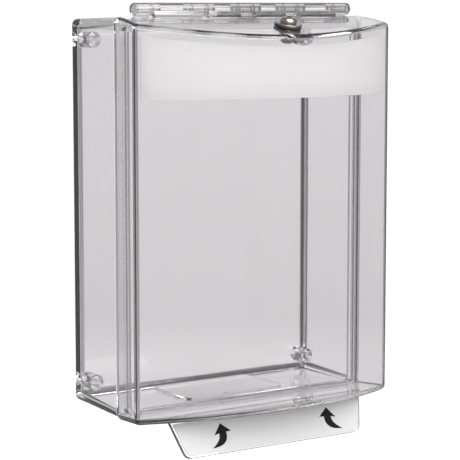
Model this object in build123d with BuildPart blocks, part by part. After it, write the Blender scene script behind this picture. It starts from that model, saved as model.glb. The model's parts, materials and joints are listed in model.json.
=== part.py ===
from build123d import *
import os
from math import atan, cos, sin, sqrt

# Clear protective dome cover with an enclosed back box.
# +X right seen from the front, +Y into the wall, +Z up, millimetres.
# The origin is the centre of the back face, which lies on the wall at y = 0.

# ---- driving dimensions ----
W = 168.0            # width over the side walls at the seam
H = 222.0            # height over the top and bottom at the seam
BOX_D = 49.9         # depth of the back box
DRAFT_X = 2.0        # how much each side wall of the box draws in at the wall
DRAFT_Z = 1.1        # the same for its top and bottom
WALL = 2.8           # wall thickness of the box and the dome
R_BOX = 4.0          # corner radius of the box and the frame, seen from the front

POST_DX = 147.0      # wall screw spacing across
POST_DZ = 196.0      # wall screw spacing up
POST_R = 4.6         # corner post radius
POST_L = 10.5        # corner post height over the back wall
SCREW_HOLE_R = 2.3   # wall screw hole

R_BACK = 0.3         # outer radius round the back of the box
R_CAVITY = 4.2       # inner radius round the back of the box

PAD_W, PAD_D, PAD_T = 66.0, 40.0, 1.5   # raised conduit pad on the floor
PAD_Y = -24.5

SEAM = 0.7           # seam between box and frame, filled by the gasket
PLATE_T = 1.6        # thickness of the flat frame plate
LIP_H = 3.5          # how far the frame's lip stands up inside the dome
LIP_IN = 75.6        # half width of the frame's mouth
LIP_OUT = 78.4       # half width over the lip
MOUTH_Z0, MOUTH_Z1 = -106.4, 103.2    # bottom and top of the mouth
LIP_Z0, LIP_Z1 = -108.3, 106.0        # bottom and top over the lip

REAR = 52.4          # back rim of the dome
DOME_W0 = 169.0      # width over the dome's side walls at the back rim
DOME_W = 173.2       # width where the side walls meet the bowed front
SIDE = 75.5          # where the side walls end and the bowed front begins
SAG = 22.1           # how far the front bows out
TOP_Z = 111.2        # top at the back rim
TOP_MID_Z = 107.3    # top where the side walls end
TOP_FRONT_Z = 100.7  # top at the foremost point
BOT_Z = -111.5       # bottom at the back rim
BOT_SLOPE = 0.063    # rise of the bottom towards the front

AX_Y, AX_Z = -52.2, 115.2   # hinge axis
BARREL_R = 3.6
PIN_R = 1.5
PIN_GAP = 0.06       # running clearance of a dome knuckle on its pin
# frame knuckles and dome knuckles, from x to x
FRAME_KN = [(-74.2, -62.0), (-36.0, -26.3), (-4.8, 4.8), (26.3, 36.0), (62.0, 74.2)]
DOME_KN = [(-61.7, -36.3), (-26.0, -5.1), (5.1, 26.0), (36.3, 61.7)]
PIN_IN = 4.6         # how far each pin reaches into a dome knuckle

TAB_Y, TAB_Z = -75.3, -110.2   # where the lift tab leaves the dome
TAB_TOP, TAB_BOT = 66.0, 59.8  # half widths of the tab
TAB_L = 21.9
TAB_T = 2.4
TAB_TILT = atan(8.7 / 20.1)    # the tab leans forward

SIGN_Z0 = 66.6                 # bottom of the sign strip inside the front
SIGN_HALF = 82.0
FILM = 0.35                    # thickness of the strip and the tab label
EMBED = 0.05                   # bond depth of a film

STUD_X, STUD_Y = 8.75, -82.5   # screw through the curved top

os.makedirs("parts", exist_ok=True)

FRONT_R = ((DOME_W / 2) ** 2 + SAG ** 2) / (2 * SAG)   # radius of the bow
FRONT_CY = -(SIDE + SAG) + FRONT_R                     # its centre

# side profile of the top: one arc through the three heights above
_a, _b, _c = (-REAR, TOP_Z), (-SIDE, TOP_MID_Z), (-SIDE - SAG, TOP_FRONT_Z)
_d = 2 * (_a[0] * (_b[1] - _c[1]) + _b[0] * (_c[1] - _a[1]) + _c[0] * (_a[1] - _b[1]))
_sa, _sb, _sc = (p[0] ** 2 + p[1] ** 2 for p in (_a, _b, _c))
TOP_CY = (_sa * (_b[1] - _c[1]) + _sb * (_c[1] - _a[1]) + _sc * (_a[1] - _b[1])) / _d
TOP_CZ = (_sa * (_c[0] - _b[0]) + _sb * (_a[0] - _c[0]) + _sc * (_b[0] - _a[0])) / _d
TOP_R = sqrt((_a[0] - TOP_CY) ** 2 + (_a[1] - TOP_CZ) ** 2)


def top_z(y, inset=0.0):
    """Height of the curved top, or of a surface that lies inset below it."""
    return TOP_CZ + sqrt((TOP_R - inset) ** 2 - (y - TOP_CY) ** 2)


def under_top(inset, y_back):
    """Everything that lies more than inset below the curved top."""
    y0, y1 = y_back, -SIDE - SAG - 12
    with BuildPart() as block:
        with BuildSketch(Plane.YZ.offset(-W)):
            with BuildLine():
                ThreePointArc((y0, top_z(y0, inset)), ((y0 + y1) / 2, top_z((y0 + y1) / 2, inset)),
                              (y1, top_z(y1, inset)))
                Polyline((y1, top_z(y1, inset)), (y1, -H), (y0, -H), (y0, top_z(y0, inset)))
            make_face()
        extrude(amount=2 * W)
    return block.part


def dome_body(inset, rear, r_vert, r_top, r_bot):
    """Solid with the dome's outer shape, drawn in by inset on every wall."""
    half = DOME_W / 2 - inset
    half0 = DOME_W0 / 2 - inset + (REAR - rear) * (DOME_W - DOME_W0) / 2 / (REAR - SIDE)
    radius = FRONT_R - inset
    y_side = FRONT_CY - sqrt(radius ** 2 - half ** 2)
    y_front = FRONT_CY - radius
    with BuildPart() as body:
        with BuildSketch(Plane.XY.offset(-H / 2 - 8)):
            with BuildLine():
                Polyline((-half, y_side), (-half0, -rear), (half0, -rear), (half, y_side))
                ThreePointArc((half, y_side), (0, y_front), (-half, y_side))
            make_face()
        extrude(amount=H + 16)
        corners = body.edges().filter_by(Axis.Z).group_by(Axis.Y)[0]
        fillet(corners, r_vert)
        n_bot = Vector(0, -BOT_SLOPE, -1).normalized()
        add(under_top(inset, -rear + 6), mode=Mode.INTERSECT)
        split(bisect_by=Plane(origin=Vector(0, -REAR, BOT_Z) - n_bot * inset, z_dir=n_bot), keep=Keep.BOTTOM)
        top = body.faces().sort_by(Axis.Z)[-1]
        fillet([e for e in top.edges() if e.center().Y < -rear - 0.01], r_top)
        bottom = body.faces().sort_by(Axis.Z)[0]
        fillet([e for e in bottom.edges() if e.center().Y < -rear - 0.01], r_bot)
    return body.part


def barrel(x0, x1, round_left, round_right):
    """Hinge barrel along X, with a rounded outer end where the row of knuckles ends."""
    with BuildPart() as body:
        with BuildSketch(Plane.YZ.offset(x0)):
            with Locations((AX_Y, AX_Z)):
                Circle(BARREL_R)
        extrude(amount=x1 - x0)
        rings = body.edges().filter_by(GeomType.CIRCLE).sort_by(Axis.X)
        if round_left:
            fillet(rings[0], 2.2)
        if round_right:
            fillet(rings[-1], 2.2)
    return body.part


# ---- back box ----
with BuildPart() as back_box:
    with BuildSketch(Plane.XZ):
        RectangleRounded(W - 2 * DRAFT_X, H - 2 * DRAFT_Z, R_BOX)
    with BuildSketch(Plane.XZ.offset(BOX_D)):
        RectangleRounded(W, H, R_BOX)
    loft()
    fillet(back_box.faces().sort_by(Axis.Y)[-1].edges(), R_BACK)
    # the cavity, well rounded where its walls meet the back
    with BuildPart(mode=Mode.SUBTRACT) as cavity:
        with BuildSketch(Plane.XZ.offset(WALL)):
            RectangleRounded(W - 2 * DRAFT_X - 2 * WALL, H - 2 * DRAFT_Z - 2 * WALL, 4.6)
        with BuildSketch(Plane.XZ.offset(BOX_D)):
            RectangleRounded(W - 2 * WALL, H - 2 * WALL, R_BOX - 1.6)
        loft()
        fillet(cavity.faces().sort_by(Axis.Y)[-1].edges(), R_CAVITY)
    # corner posts on the back wall
    with BuildSketch(Plane.XZ.offset(WALL - 0.6)):
        with GridLocations(POST_DX, POST_DZ, 2, 2):
            Circle(POST_R)
    extrude(amount=POST_L + 0.6)
    ends = back_box.edges().filter_by(GeomType.CIRCLE).filter_by(
        lambda e: abs(e.radius - POST_R) < 0.01 and e.center().Y < -WALL - 1)
    fillet(ends, 0.7)
    # conduit pad on the floor
    with BuildSketch(Plane.XY.offset(-H / 2 + DRAFT_Z + WALL - 1.5)):
        with Locations((0, PAD_Y)):
            RectangleRounded(PAD_W, PAD_D, 3.0)
    extrude(amount=PAD_T + 0.8)
    # wall screw holes, through posts and back wall
    with BuildSketch(Plane.XZ.offset(-1)):
        with GridLocations(POST_DX, POST_DZ, 2, 2):
            Circle(SCREW_HOLE_R)
    extrude(amount=WALL + POST_L + 3, mode=Mode.SUBTRACT)
    # centre mark under the conduit pad
    with BuildSketch(Plane.XY.offset(-H / 2 - 1)):
        with Locations((-5.0, -41.0)):
            Circle(1.3)
    extrude(amount=2.6, mode=Mode.SUBTRACT)
back_box.part.label = "back_box"
export_step(back_box.part, "parts/back_box.step")

# ---- seam gasket ----
with BuildPart() as box_gasket:
    with BuildSketch(Plane.XZ.offset(BOX_D + 0.02)):
        RectangleRounded(W - 1.4, H - 1.4, R_BOX - 0.7)
        RectangleRounded(W - 4.0, H - 4.0, R_BOX - 2.0, mode=Mode.SUBTRACT)
    extrude(amount=SEAM - 0.04)
box_gasket.part.label = "box_gasket"
export_step(box_gasket.part, "parts/box_gasket.step")

# ---- mounting frame with its hinge knuckles ----
PLATE_Y0 = BOX_D + SEAM
PLATE_Y1 = PLATE_Y0 + PLATE_T
with BuildPart() as mounting_frame:
    with BuildSketch(Plane.XZ.offset(PLATE_Y0)):
        RectangleRounded(W, H, R_BOX)
        with Locations((0, (MOUTH_Z0 + MOUTH_Z1) / 2)):
            RectangleRounded(2 * LIP_IN, MOUTH_Z1 - MOUTH_Z0, 1.0, mode=Mode.SUBTRACT)
    extrude(amount=PLATE_T)
    # lip that stands up round the mouth, inside the closed dome
    with BuildSketch(Plane.XZ.offset(PLATE_Y1 - 0.5)):
        with Locations((0, (LIP_Z0 + LIP_Z1) / 2)):
            RectangleRounded(2 * LIP_OUT, LIP_Z1 - LIP_Z0, 2.4)
        with Locations((0, (MOUTH_Z0 + MOUTH_Z1) / 2)):
            RectangleRounded(2 * LIP_IN, MOUTH_Z1 - MOUTH_Z0, 1.0, mode=Mode.SUBTRACT)
    extrude(amount=LIP_H + 0.5)
    fillet(mounting_frame.faces().sort_by(Axis.Y)[0].edges(), 0.8)
    for i, (x0, x1) in enumerate(FRAME_KN):
        add(barrel(x0, x1, i == 0, i == len(FRAME_KN) - 1))
        a = x0 + (2.4 if i == 0 else 0)
        b = x1 - (2.4 if i == len(FRAME_KN) - 1 else 0)
        with BuildSketch(Plane.YZ.offset(a)):
            with BuildLine():
                Polyline((-PLATE_Y1, H / 2 - 0.8), (AX_Y, AX_Z + 0.5), (AX_Y + 3.5, AX_Z - 0.6),
                         (AX_Y + 3.1, H / 2 + 1.4), (-PLATE_Y0, H / 2 + 0.4), (-PLATE_Y0, H / 2 - 0.8),
                         close=True)
            make_face()
        extrude(amount=b - a)
    # pin bores; the two end ones are blind
    for i, (x0, x1) in enumerate(FRAME_KN):
        a = x0 + (3.0 if i == 0 else -0.1)
        b = x1 - (3.0 if i == len(FRAME_KN) - 1 else -0.1)
        with BuildSketch(Plane.YZ.offset(a)):
            with Locations((AX_Y, AX_Z)):
                Circle(PIN_R + 0.02)
        extrude(amount=b - a, mode=Mode.SUBTRACT)
mounting_frame.part.label = "mounting_frame"
export_step(mounting_frame.part, "parts/mounting_frame.step")

# ---- hinge pins ----
with BuildPart() as hinge_pins:
    for i, (x0, x1) in enumerate(FRAME_KN):
        a = x0 + 3.1 if i == 0 else x0 - PIN_IN
        b = x1 - 3.1 if i == len(FRAME_KN) - 1 else x1 + PIN_IN
        with BuildSketch(Plane.YZ.offset(a)):
            with Locations((AX_Y, AX_Z)):
                Circle(PIN_R)
        extrude(amount=b - a)
    fillet(hinge_pins.edges().filter_by(GeomType.CIRCLE), 0.3)
hinge_pins.part.label = "hinge_pins"
export_step(hinge_pins.part, "parts/hinge_pins.step")

# ---- dome cover ----
outer = dome_body(0.0, REAR, 3.2, 3.1, 3.1)
inner = dome_body(WALL, REAR - 4.0, 1.4, 0.7, 0.9)
stud_z = top_z(STUD_Y)
stud = Plane(origin=(STUD_X, STUD_Y, stud_z), x_dir=(1, 0, 0), z_dir=(0, STUD_Y - TOP_CY, stud_z - TOP_CZ))
tab_n = (0, -cos(TAB_TILT), sin(TAB_TILT))
tab = Plane(origin=(0, TAB_Y, TAB_Z), x_dir=(1, 0, 0), z_dir=tab_n)
with BuildPart() as dome_cover:
    add(outer)
    add(inner, mode=Mode.SUBTRACT)
    # knuckles, each with an arm that runs down into the sloping top
    for x0, x1 in DOME_KN:
        with BuildSketch(Plane.YZ.offset(x0)):
            with Locations((AX_Y, AX_Z)):
                Circle(BARREL_R)
            with BuildLine():
                Polyline((AX_Y, AX_Z - BARREL_R), (AX_Y, AX_Z), (AX_Y - 3.4, AX_Z - 1.1),
                         (AX_Y - 5.0, TOP_Z - 0.2), (AX_Y - 5.4, TOP_Z - 1.8), (-REAR - 1.2, TOP_Z - 1.6),
                         (-REAR, TOP_Z - 0.6), (-REAR, AX_Z - BARREL_R), close=True)
            make_face()
        extrude(amount=x1 - x0)
    for x0, x1 in DOME_KN:
        for a, b in ((x0 - 0.1, x0 + PIN_IN + 0.3), (x1 - PIN_IN - 0.3, x1 + 0.1)):
            with BuildSketch(Plane.YZ.offset(a)):
                with Locations((AX_Y, AX_Z)):
                    Circle(PIN_R + PIN_GAP)
            extrude(amount=b - a, mode=Mode.SUBTRACT)
    # lift tab
    with BuildSketch(tab.offset(-TAB_T / 2)) as tab_sk:
        with BuildLine():
            Polyline((-TAB_TOP, 1.2), (-TAB_TOP, 0), (-TAB_BOT, -TAB_L), (TAB_BOT, -TAB_L),
                     (TAB_TOP, 0), (TAB_TOP, 1.2), close=True)
        make_face()
        fillet(tab_sk.vertices().group_by(Axis.Y)[0], 4.5)
    extrude(amount=TAB_T)
    # hole for the screw in the curved top
    with BuildSketch(stud.offset(2)):
        Circle(2.75)
    extrude(amount=-9, mode=Mode.SUBTRACT)
dome_cover.part.label = "dome_cover"
export_step(dome_cover.part, "parts/dome_cover.step")

# ---- sign strip, bonded inside the front ----
with BuildPart() as sign_label:
    with BuildSketch(Plane.XY.offset(SIGN_Z0)):
        with Locations((0, FRONT_CY)):
            Circle(FRONT_R - WALL + EMBED)
            Circle(FRONT_R - WALL + EMBED - FILM, mode=Mode.SUBTRACT)
        with Locations((0, FRONT_CY - FRONT_R)):
            Rectangle(2 * SIGN_HALF, 60, mode=Mode.INTERSECT)
    extrude(amount=TOP_Z - SIGN_Z0)
    # its top edge runs along the inside of the curved top
    add(under_top(WALL + 3.4, -REAR), mode=Mode.INTERSECT)
sign_label.part.label = "sign_label"
export_step(sign_label.part, "parts/sign_label.step")

# ---- label on the lift tab ----
with BuildPart() as lift_label:
    with BuildSketch(tab.offset(TAB_T / 2 - EMBED)) as ll:
        with BuildLine():
            k = (TAB_TOP - TAB_BOT) / TAB_L
            Polyline((-TAB_TOP + 1.0 + 2.0 * k, -2.0), (-TAB_BOT + 0.8, -TAB_L + 0.9),
                     (TAB_BOT - 0.8, -TAB_L + 0.9), (TAB_TOP - 1.0 - 2.0 * k, -2.0), close=True)
        make_face()
        fillet(ll.vertices().group_by(Axis.Y)[0], 3.6)
    extrude(amount=FILM)
lift_label.part.label = "lift_label"
export_step(lift_label.part, "parts/lift_label.step")

# ---- screw stack in the curved top ----
GAP = 0.02
GAP_IN = 0.22        # the inner washer bridges the hollow of the curved top
with BuildPart() as seal_washer:
    with BuildSketch(stud.offset(GAP)):
        Circle(7.7)
        Circle(2.6, mode=Mode.SUBTRACT)
    extrude(amount=1.3)
    fillet(seal_washer.edges().filter_by(GeomType.CIRCLE).group_by(SortBy.RADIUS)[-1], 0.35)
seal_washer.part.label = "seal_washer"
export_step(seal_washer.part, "parts/seal_washer.step")

with BuildPart() as top_washer:
    with BuildSketch(stud.offset(GAP + 1.3)):
        Circle(7.8)
        Circle(2.7, mode=Mode.SUBTRACT)
    extrude(amount=1.1)
    fillet(top_washer.edges().filter_by(GeomType.CIRCLE).group_by(SortBy.RADIUS)[-1], 0.3)
top_washer.part.label = "top_washer"
export_step(top_washer.part, "parts/top_washer.step")

HEAD_Z = GAP + 1.3 + 1.1
SHANK = 11.6
with BuildPart() as top_screw:
    with BuildSketch(stud.offset(HEAD_Z)):
        Circle(4.6)
    extrude(amount=3.1)
    fillet(top_screw.faces().sort_by(Axis.Z)[-1].edges(), 2.7)
    with BuildSketch(stud.offset(HEAD_Z + 3.1)):
        RegularPolygon(radius=1.73, side_count=6)
    extrude(amount=-1.7, mode=Mode.SUBTRACT)
    with BuildSketch(stud.offset(HEAD_Z)):
        Circle(2.5)
    extrude(amount=-SHANK)
top_screw.part.label = "top_screw"
export_step(top_screw.part, "parts/top_screw.step")

with BuildPart() as inner_washer:
    with BuildSketch(stud.offset(-WALL - GAP_IN)):
        Circle(7.5)
        Circle(2.7, mode=Mode.SUBTRACT)
    extrude(amount=-1.2)
inner_washer.part.label = "inner_washer"
export_step(inner_washer.part, "parts/inner_washer.step")

with BuildPart() as inner_nut:
    with BuildSketch(stud.offset(-WALL - GAP_IN - 1.2)):
        RegularPolygon(radius=4.6, side_count=6)
        Circle(2.52, mode=Mode.SUBTRACT)
    extrude(amount=-3.9)
inner_nut.part.label = "inner_nut"
export_step(inner_nut.part, "parts/inner_nut.step")
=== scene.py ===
import bpy, bmesh, json, math
from mathutils import Vector, Matrix


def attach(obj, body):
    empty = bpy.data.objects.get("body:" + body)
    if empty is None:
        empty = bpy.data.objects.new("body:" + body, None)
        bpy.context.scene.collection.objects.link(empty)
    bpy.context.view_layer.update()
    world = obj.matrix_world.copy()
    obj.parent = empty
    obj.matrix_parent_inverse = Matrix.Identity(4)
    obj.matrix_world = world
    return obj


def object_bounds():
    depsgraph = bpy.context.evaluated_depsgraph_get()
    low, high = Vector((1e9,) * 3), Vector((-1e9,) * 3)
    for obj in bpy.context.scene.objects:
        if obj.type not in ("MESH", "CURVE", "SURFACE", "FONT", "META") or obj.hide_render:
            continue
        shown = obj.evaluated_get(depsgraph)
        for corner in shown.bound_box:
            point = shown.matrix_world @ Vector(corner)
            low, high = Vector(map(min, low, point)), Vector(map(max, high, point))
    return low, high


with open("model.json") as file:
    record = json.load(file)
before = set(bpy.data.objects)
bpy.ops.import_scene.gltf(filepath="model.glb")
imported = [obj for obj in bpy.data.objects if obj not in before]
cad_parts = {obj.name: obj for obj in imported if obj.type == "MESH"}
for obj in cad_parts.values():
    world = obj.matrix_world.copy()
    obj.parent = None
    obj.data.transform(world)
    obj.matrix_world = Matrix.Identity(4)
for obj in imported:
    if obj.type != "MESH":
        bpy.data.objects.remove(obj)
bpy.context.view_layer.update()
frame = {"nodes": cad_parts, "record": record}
REC = frame["record"]
NODES = frame["nodes"]
scene = bpy.context.scene

# ------------------------------------------------------------------ helpers


def new_mat(name):
    m = bpy.data.materials.new(name)
    m.use_nodes = True
    nt = m.node_tree
    nt.nodes.clear()
    out = nt.nodes.new("ShaderNodeOutputMaterial")
    bsdf = nt.nodes.new("ShaderNodeBsdfPrincipled")
    nt.links.new(bsdf.outputs[0], out.inputs[0])
    return m, nt, bsdf, out


def obj_noise(nt, scale, detail=3.0, rough=0.5, stretch=(1, 1, 1)):
    co = nt.nodes.new("ShaderNodeTexCoord")
    mp = nt.nodes.new("ShaderNodeMapping")
    mp.inputs["Scale"].default_value = stretch
    nt.links.new(co.outputs["Object"], mp.inputs[0])
    n = nt.nodes.new("ShaderNodeTexNoise")
    n.inputs["Scale"].default_value = scale
    n.inputs["Detail"].default_value = detail
    n.inputs["Roughness"].default_value = rough
    nt.links.new(mp.outputs[0], n.inputs["Vector"])
    return n


def ramp(nt, src, stops):
    r = nt.nodes.new("ShaderNodeValToRGB")
    el = r.color_ramp.elements
    el[0].position, el[0].color = stops[0][0], (*stops[0][1], 1)
    el[1].position, el[1].color = stops[-1][0], (*stops[-1][1], 1)
    for p, c in stops[1:-1]:
        e = el.new(p)
        e.color = (*c, 1)
    nt.links.new(src, r.inputs[0])
    return r


def rough_range(nt, src, lo, hi):
    m = nt.nodes.new("ShaderNodeMapRange")
    m.inputs["To Min"].default_value = lo
    m.inputs["To Max"].default_value = hi
    nt.links.new(src, m.inputs["Value"])
    return m.outputs[0]


def bump(nt, height, strength, dist):
    b = nt.nodes.new("ShaderNodeBump")
    b.inputs["Strength"].default_value = strength
    b.inputs["Distance"].default_value = dist
    nt.links.new(height, b.inputs["Height"])
    return b


def give(node, mat):
    o = NODES[node]
    if not o.material_slots:
        o.data.materials.append(mat)
    for s in o.material_slots:
        s.material = mat


def clear_plastic(name, tint=(0.800, 0.787, 0.797), wave=0.05, lo=0.0, hi=0.03):
    """Polished moulded polycarbonate: full refraction, faint flow waviness and fine haze."""
    m, nt, b, out = new_mat(name)
    n = obj_noise(nt, 26.0, 2.0, 0.45, (1, 1, 0.55))
    f = obj_noise(nt, 900.0, 2.0, 0.6)
    r = ramp(nt, n.outputs["Fac"], [(0.3, tint), (0.7, tuple(min(1, t + 0.01) for t in tint))])
    nt.links.new(r.outputs[0], b.inputs["Base Color"])
    nt.links.new(rough_range(nt, f.outputs["Fac"], lo, hi), b.inputs["Roughness"])
    bp = bump(nt, n.outputs["Fac"], wave, 0.0006)
    nt.links.new(bp.outputs[0], b.inputs["Normal"])
    b.inputs["IOR"].default_value = 1.585
    b.inputs["Transmission Weight"].default_value = 1.0
    return m


# ------------------------------------------------------------------ materials
give("dome_cover", clear_plastic("clear_dome"))
give("back_box", clear_plastic("clear_box"))
give("mounting_frame", clear_plastic("clear_frame"))
give("hinge_pins", clear_plastic("clear_pins"))


def rubber(name, col, rgh=0.55):
    m, nt, b, out = new_mat(name)
    n = obj_noise(nt, 1800.0, 3.0, 0.6)
    r = ramp(nt, n.outputs["Fac"], [(0.35, tuple(c * 0.8 for c in col)), (0.7, tuple(min(1, c * 1.25) for c in col))])
    nt.links.new(r.outputs[0], b.inputs["Base Color"])
    nt.links.new(rough_range(nt, n.outputs["Fac"], rgh - 0.08, rgh + 0.1), b.inputs["Roughness"])
    nt.links.new(bump(nt, n.outputs["Fac"], 0.25, 0.0001).outputs[0], b.inputs["Normal"])
    return m


def steel(name, col, rgh=0.18, brushed=True):
    m, nt, b, out = new_mat(name)
    n = obj_noise(nt, 2200.0, 4.0, 0.6, (1, 1, 0.2))
    r = ramp(nt, n.outputs["Fac"], [(0.3, tuple(c * 0.82 for c in col)), (0.7, col)])
    nt.links.new(r.outputs[0], b.inputs["Base Color"])
    nt.links.new(rough_range(nt, n.outputs["Fac"], rgh * 0.7, rgh * 1.4), b.inputs["Roughness"])
    nt.links.new(bump(nt, n.outputs["Fac"], 0.12, 0.00005).outputs[0], b.inputs["Normal"])
    b.inputs["Metallic"].default_value = 1.0
    return m


give("box_gasket", rubber("gasket", (0.16, 0.16, 0.17)))
give("seal_washer", rubber("washer_rubber", (0.015, 0.015, 0.015), 0.45))
give("top_screw", steel("screw_metal", (0.36, 0.31, 0.285), 0.16))
give("top_washer", steel("washer_metal", (0.36, 0.325, 0.30), 0.22))
give("inner_washer", steel("inner_washer_metal", (0.42, 0.43, 0.47), 0.3))
give("inner_nut", steel("nut_metal", (0.42, 0.43, 0.47), 0.3))


def film(name, col, trans, rgh=0.4):
    """Printed film: mostly diffuse, some light passes through."""
    m, nt, b, out = new_mat(name)
    n = obj_noise(nt, 700.0, 3.0, 0.6)
    big = obj_noise(nt, 14.0, 2.0, 0.5)
    r = ramp(nt, big.outputs["Fac"], [(0.3, tuple(c * 0.975 for c in col)), (0.75, col)])
    nt.links.new(r.outputs[0], b.inputs["Base Color"])
    nt.links.new(rough_range(nt, n.outputs["Fac"], rgh - 0.05, rgh + 0.08), b.inputs["Roughness"])
    nt.links.new(bump(nt, n.outputs["Fac"], 0.08, 0.00008).outputs[0], b.inputs["Normal"])
    tr = nt.nodes.new("ShaderNodeBsdfTranslucent")
    nt.links.new(r.outputs[0], tr.inputs["Color"])
    mix = nt.nodes.new("ShaderNodeMixShader")
    mix.inputs[0].default_value = trans
    nt.links.new(b.outputs[0], mix.inputs[1])
    nt.links.new(tr.outputs[0], mix.inputs[2])
    nt.links.new(mix.outputs[0], out.inputs[0])
    return m


give("sign_label", film("sign_film", (0.955, 0.938, 0.944), 0.05))
give("lift_label", film("tab_film", (0.475, 0.471, 0.471), 0.10))

# ------------------------------------------------------------------ printed arrows on the lift tab
TILT = math.atan(8.7 / 20.1)
TAB_O = Vector((0, -0.0753, -0.1102))
TAB_N = Vector((0, -math.cos(TILT), math.sin(TILT)))
TAB_U = Vector((0, math.sin(TILT), math.cos(TILT)))
ARROWS = ((-34.2, -5.3), (39.7, -5.3))     # tips, mm on the tab
FACE = 0.0015          # front of the tab label, off the tab's middle plane
INK = 0.00008


def arrow(name, x, y, lean, flip, size=1.0):
    """Curved arrow, pointing up, as a thin printed shape. Lengths in mm on the tab."""
    def bez(p0, p1, p2, t):
        return ((1 - t) ** 2 * p0[0] + 2 * t * (1 - t) * p1[0] + t * t * p2[0],
                (1 - t) ** 2 * p0[1] + 2 * t * (1 - t) * p1[1] + t * t * p2[1])

    n = 14
    outer = [bez((-2.3, -5.4), (-2.2, -9.6), (-9.0, -12.7), i / n) for i in range(n + 1)]
    inner = [bez((2.5, -5.4), (2.9, -13.4), (-9.0, -12.7), i / n) for i in range(n)]
    pts = [(0.0, 0.0), (-5.6, -5.9)] + [(-2.3, -5.4)] + outer[1:] + list(reversed(inner)) + [(5.8, -5.3)]
    pts = [(q[0] * size * flip, q[1] * size) for q in pts]
    c_, s_ = math.cos(math.radians(lean)), math.sin(math.radians(lean))
    pts = [(x + c_ * a - s_ * b_, y + s_ * a + c_ * b_) for a, b_ in pts]
    bm = bmesh.new()
    rings = []
    for off in (FACE - 0.00002, FACE + INK):
        rings.append([bm.verts.new(TAB_O + Vector((a * 0.001, 0, 0)) + TAB_U * (b_ * 0.001) + TAB_N * off)
                      for a, b_ in pts])
    front = bm.faces.new(rings[1])
    back = bm.faces.new(list(reversed(rings[0])))
    k = len(pts)
    for i in range(k):
        bm.faces.new((rings[0][i], rings[0][(i + 1) % k], rings[1][(i + 1) % k], rings[1][i]))
    bmesh.ops.recalc_face_normals(bm, faces=bm.faces[:])
    bmesh.ops.triangulate(bm, faces=[f for f in bm.faces if len(f.verts) > 4])
    me = bpy.data.meshes.new(name)
    bm.to_mesh(me)
    bm.free()
    o = bpy.data.objects.new(name, me)
    scene.collection.objects.link(o)
    o.data.materials.append(INK_MAT)
    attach(o, "dome")
    return o


INK_MAT, ink_nt, ink_b, ink_out = new_mat("printed_ink")
ink_n = obj_noise(ink_nt, 900.0, 3.0, 0.6)
ink_r = ramp(ink_nt, ink_n.outputs["Fac"], [(0.3, (0.003, 0.003, 0.003)), (0.7, (0.007, 0.007, 0.007))])
ink_nt.links.new(ink_r.outputs[0], ink_b.inputs["Base Color"])
ink_b.inputs["Specular IOR Level"].default_value = 0.08
ink_nt.links.new(rough_range(ink_nt, ink_n.outputs["Fac"], 0.35, 0.5), ink_b.inputs["Roughness"])
arrow("arrow_left", ARROWS[0][0], ARROWS[0][1], 4, 1)
arrow("arrow_right", ARROWS[1][0], ARROWS[1][1], -4, -1)

# ------------------------------------------------------------------ floor, light and camera
floor_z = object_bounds()[0][2] - 0.50
BACK = Vector((0.5576, 0.8301, 0.0))       # the way the main view looks
WHITE, DIM = 1.0, 0.50


def toward(azimuth, elevation):
    """Direction at an azimuth from +Y towards +X and an elevation, in degrees."""
    a, e = math.radians(azimuth), math.radians(elevation)
    return Vector((math.sin(a) * math.cos(e), math.cos(a) * math.cos(e), math.sin(e)))


# soft patches of light and shade round the object: direction, inner and outer angle, brightness
SKY = [
    (toward(37, 32), 14, 30, 0.30),
    (toward(63, 2), 18, 27, -0.46),
    (toward(17, 0), 3, 11, -0.20),
    (toward(34, -50), 22, 33, -0.45),
]


def patches(nt, direction):
    """Brightness of the surroundings in a direction."""
    total = None
    for axis, inner, outer, value in SKY:
        dot = nt.nodes.new("ShaderNodeVectorMath")
        dot.operation = "DOT_PRODUCT"
        dot.inputs[1].default_value = axis
        nt.links.new(direction, dot.inputs[0])
        mr = nt.nodes.new("ShaderNodeMapRange")
        mr.interpolation_type = "SMOOTHERSTEP"
        mr.inputs["From Min"].default_value = math.cos(math.radians(outer))
        mr.inputs["From Max"].default_value = math.cos(math.radians(inner))
        mr.inputs["To Max"].default_value = value
        nt.links.new(dot.outputs["Value"], mr.inputs["Value"])
        ad = nt.nodes.new("ShaderNodeMath")
        ad.operation = "ADD"
        nt.links.new(mr.outputs[0], ad.inputs[0])
        ad.inputs[1].default_value = DIM
        if total is not None:
            nt.links.new(total, ad.inputs[1])
        total = ad.outputs[0]
    return total


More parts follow.
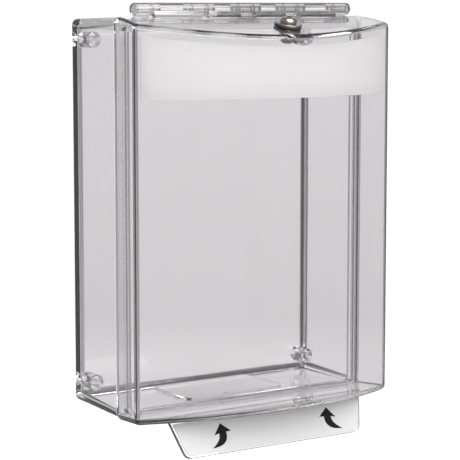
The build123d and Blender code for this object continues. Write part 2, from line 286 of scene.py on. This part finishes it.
def sweep():
    """A pale floor that curves up into a backdrop well behind the object."""
    bm = bmesh.new()
    half = 7.0
    pts = [(-7.0, floor_z)]
    y0, r = 3.4, 1.4
    pts.append((y0, floor_z))
    for i in range(1, 13):
        a = math.pi / 2 * i / 12
        pts.append((y0 + r * math.sin(a), floor_z + r * (1 - math.cos(a))))
    pts.append((y0 + r, floor_z + 4.4))
    side = Vector((BACK.y, -BACK.x, 0))
    rows = []
    for d, z in pts:
        rows.append([bm.verts.new(BACK * d + side * h + Vector((0, 0, z))) for h in (-half, half)])
    for p, q in zip(rows, rows[1:]):
        bm.faces.new((p[0], p[1], q[1], q[0]))
    me = bpy.data.meshes.new("studio_floor")
    bm.to_mesh(me)
    bm.free()
    for p in me.polygons:
        p.use_smooth = True
    o = bpy.data.objects.new("studio_floor", me)
    scene.collection.objects.link(o)
    m, nt, b, out = new_mat("studio_floor")
    b.inputs["Base Color"].default_value = (0.05, 0.05, 0.05, 1)
    b.inputs["Roughness"].default_value = 0.95
    b.inputs["Specular IOR Level"].default_value = 0.0
    # evenly lit white straight behind the object, falling off to grey around it
    co = nt.nodes.new("ShaderNodeTexCoord")

    def along(axis):
        n = nt.nodes.new("ShaderNodeVectorMath")
        n.operation = "DOT_PRODUCT"
        n.inputs[1].default_value = axis
        nt.links.new(co.outputs["Object"], n.inputs[0])
        return n.outputs["Value"]

    def calc(op, *args):
        n = nt.nodes.new("ShaderNodeMath")
        n.operation = op
        for k, v in enumerate(args):
            if isinstance(v, (int, float)):
                n.inputs[k].default_value = v
            else:
                nt.links.new(v, n.inputs[k])
        return n.outputs[0]

    u = along(BACK)                       # away behind the object
    v = calc("ABSOLUTE", along(side))     # to either side
    z = along((0, 0, 1))
    span = calc("MULTIPLY_ADD", calc("MAXIMUM", u, 0.0), 0.126, 0.17)
    out_v = calc("DIVIDE", calc("SUBTRACT", v, span), calc("MULTIPLY_ADD", span, 1.5, 0.1))
    out_u = calc("DIVIDE", calc("SUBTRACT", 1.80, u), 1.2)
    out_z = calc("DIVIDE", calc("SUBTRACT", z, 0.42), 1.2)
    far = calc("MAXIMUM", calc("MAXIMUM", out_v, out_u), out_z)
    r_ = ramp(nt, far, [(0.0, (WHITE,) * 3), (0.22, (0.42,) * 3), (0.5, (0.12,) * 3), (1.0, (0.0,) * 3)])
    unit = nt.nodes.new("ShaderNodeVectorMath")
    unit.operation = "NORMALIZE"
    nt.links.new(co.outputs["Object"], unit.inputs[0])
    # painted shade: the glowing sweep is made a little darker where the floor starts to curve up
    run = calc("DIVIDE", calc("SUBTRACT", calc("ADD", u, calc("SUBTRACT", z, floor_z)), 2.2), 3.2)
    curve_shade = ramp(nt, run, [(0.0, (1.13,) * 3), (0.18, (1.13,) * 3), (0.24, (1.07,) * 3), (0.325, (1.0,) * 3),
                          (0.416, (1.01,) * 3), (0.522, (1.04,) * 3), (0.656, (1.06,) * 3), (0.734, (1.08,) * 3),
                          (0.84, (1.11,) * 3), (1.0, (1.12,) * 3)])
    # painted shade from the curve ramp multiplies the lit white of the sweep
    white = calc("MULTIPLY", r_.outputs[0], curve_shade.outputs[0])
    lit = calc("MAXIMUM", white, patches(nt, unit.outputs[0]))
    nt.links.new(lit, b.inputs["Emission Color"])
    b.inputs["Emission Strength"].default_value = 1.0
    o.data.materials.append(m)
    return o


sweep()

world = bpy.data.worlds.new("studio") if scene.world is None else scene.world
scene.world = world
world.use_nodes = True
wn = world.node_tree
wn.nodes.clear()
wo = wn.nodes.new("ShaderNodeOutputWorld")
bg = wn.nodes.new("ShaderNodeBackground")
tc = wn.nodes.new("ShaderNodeTexCoord")


bg.inputs["Color"].default_value = (1.0, 1.0, 1.01, 1)
wn.links.new(patches(wn, tc.outputs["Generated"]), bg.inputs["Strength"])
wn.links.new(bg.outputs[0], wo.inputs[0])


def area(name, loc, target, size, power, size_y=None, col=(1, 1, 1)):
    l = bpy.data.lights.new(name, "AREA")
    l.energy = power
    l.color = col
    l.shape = "RECTANGLE"
    l.size = size
    l.size_y = size_y or size
    o = bpy.data.objects.new(name, l)
    scene.collection.objects.link(o)
    o.location = loc
    o.rotation_euler = (Vector(target) - Vector(loc)).to_track_quat("-Z", "Y").to_euler()
    return o


area("key_front", (0.0, -2.00, 1.75), (0, -0.05, 0), 3.4, 174)

cam_d = bpy.data.cameras.new("cam")
cam = bpy.data.objects.new("cam", cam_d)
scene.collection.objects.link(cam)
scene.camera = cam
YAW, PITCH = math.radians(33.89), math.radians(7.02)
TX, TY, TZ, F = -0.02126, 0.01599, 1.0948, 1835.3
fwd = Vector((math.sin(YAW) * math.cos(PITCH), math.cos(YAW) * math.cos(PITCH), -math.sin(PITCH)))
right = Vector((math.cos(YAW), -math.sin(YAW), 0))
up = right.cross(fwd)
cam.location = -(TX * right + TY * up + TZ * fwd)
cam.rotation_euler = Matrix((right, up, -fwd)).transposed().to_euler()
cam_d.sensor_width = 36.0
cam_d.lens = 36.0 * F / 460.0
cam_d.clip_start = 0.05
cam_d.clip_end = 50

scene.view_settings.view_transform = "Standard"
scene.view_settings.look = "None"
scene.cycles.max_bounces = 32
scene.cycles.transmission_bounces = 28
scene.cycles.glossy_bounces = 12
scene.cycles.transparent_max_bounces = 24
scene.cycles.diffuse_bounces = 6
scene.cycles.caustics_refractive = True
scene.cycles.caustics_reflective = True
scene.cycles.blur_glossy = 0.3
